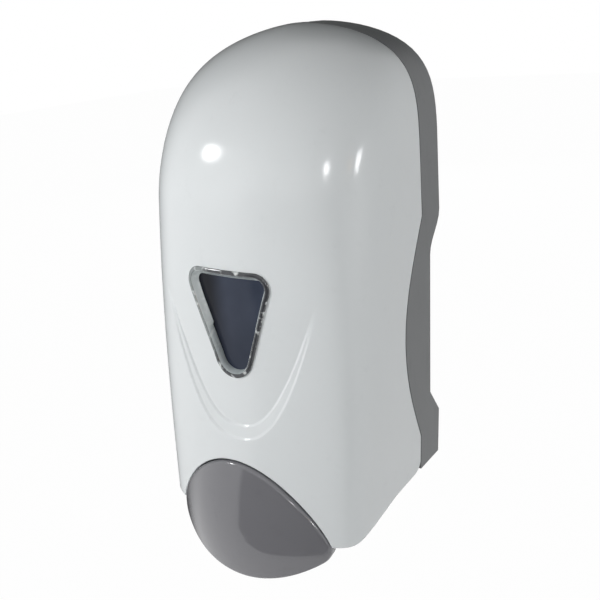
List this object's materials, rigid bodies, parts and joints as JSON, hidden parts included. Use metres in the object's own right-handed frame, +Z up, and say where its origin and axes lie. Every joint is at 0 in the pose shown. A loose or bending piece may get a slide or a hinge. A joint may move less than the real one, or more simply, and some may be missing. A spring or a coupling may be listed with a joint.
{
  "type": "wall mounted soap dispenser",
  "caption": "Domed wall dispenser for foam soap: hinged glossy cover with a sight window, curved push bar under an arch, inner bottle and foam pump on a grey back plate.",
  "frame": {"origin": "Centre of the four wall screw holes, on the wall face of the back plate. The bottom of the part hangs below it.", "axes": "+Z up the wall, +Y into the wall, so the front faces -Y, and +X to the right of someone facing the dispenser."},
  "size_m": [0.1324, 0.1178, 0.2714],
  "materials": {
    "cover_white": "glossy moulded plastic",
    "plate_grey": "satin moulded plastic",
    "shelf_grey": "satin moulded plastic",
    "window_smoke": "clear smoke-tinted glossy plastic",
    "bar_grey": "glossy moulded plastic",
    "bottle_clear": "translucent moulded plastic",
    "cap_white": "satin moulded plastic",
    "pump_white": "smooth moulded plastic",
    "nozzle_white": "satin moulded plastic",
    "seal_rubber": "soft black rubber",
    "valve_rubber": "soft amber rubber",
    "screen_mesh": "fine woven mesh on a plastic sleeve",
    "pin_steel": "ground steel",
    "spring_steel": "drawn spring steel",
    "zinc_steel": "zinc plated steel",
    "lock_metal": "plated zinc",
    "lock_brass": "turned brass",
    "yoke_grey": "satin moulded plastic"
  },
  "bodies": {
    "plate": {"back_plate": "plate_grey", "bottle_shelf": "shelf_grey", "shelf_screws": "zinc_steel", "hinge_pins": "pin_steel", "lock_body": "lock_metal", "bottle": "bottle_clear", "pump_collar": "cap_white", "neck_gasket": "seal_rubber", "pump_body": "pump_white", "inlet_valve": "valve_rubber", "pump_spring": "spring_steel"},
    "lock": {"lock_core": "lock_brass", "lock_cam": "zinc_steel"},
    "cover": {"front_cover": "cover_white", "sight_window": "window_smoke", "bar_pins": "pin_steel"},
    "bar": {"push_bar": "bar_grey", "bar_yoke": "yoke_grey"},
    "pump": {"pump_stem": "pump_white", "liquid_seal": "seal_rubber", "air_piston": "pump_white", "outlet_valve": "valve_rubber", "foam_screens": "screen_mesh", "nozzle": "nozzle_white"},
    "seal": {"cap_seal": "seal_rubber"},
    "cap": {"filler_cap": "cap_white"}
  },
  "joints": [
    {"name": "cover_hinge", "type": "hinge", "parent": "plate", "child": "cover", "pos_m": [0, -0.0299, -0.101], "axis": [1, 0, 0], "range_deg": [0, 70]},
    {"name": "bar_pivot", "type": "hinge", "parent": "cover", "child": "bar", "pos_m": [0, -0.076, -0.0663], "axis": [1, 0, 0], "range_deg": [0, 15]},
    {"name": "pump_stroke", "type": "slide", "parent": "plate", "child": "pump", "axis": [0, 0, 1], "range_m": [0, 0.006], "stiffness_N_per_m": 160, "springref_m": -0.01, "deforming": ["pump_spring"]},
    {"name": "lock_turn", "type": "hinge", "parent": "plate", "child": "lock", "pos_m": [0, -0.011, 0.125], "axis": [0, 0, 1], "range_deg": [-90, 0]},
    {"name": "cap_lift", "type": "slide", "parent": "plate", "child": "seal", "axis": [0, 0, 1], "range_m": [0, 0.004]},
    {"name": "cap_turn", "type": "hinge", "parent": "seal", "child": "cap", "pos_m": [0, -0.042, 0.1], "axis": [0, 0, 1], "range_deg": [0, 360]}
  ],
  "couplings": [
    {"joint": "bar_pivot", "follows": "pump_stroke", "rad_per_m": 43.6},
    {"joint": "cap_turn", "follows": "cap_lift", "rad_per_m": 1570.8}
  ]
}
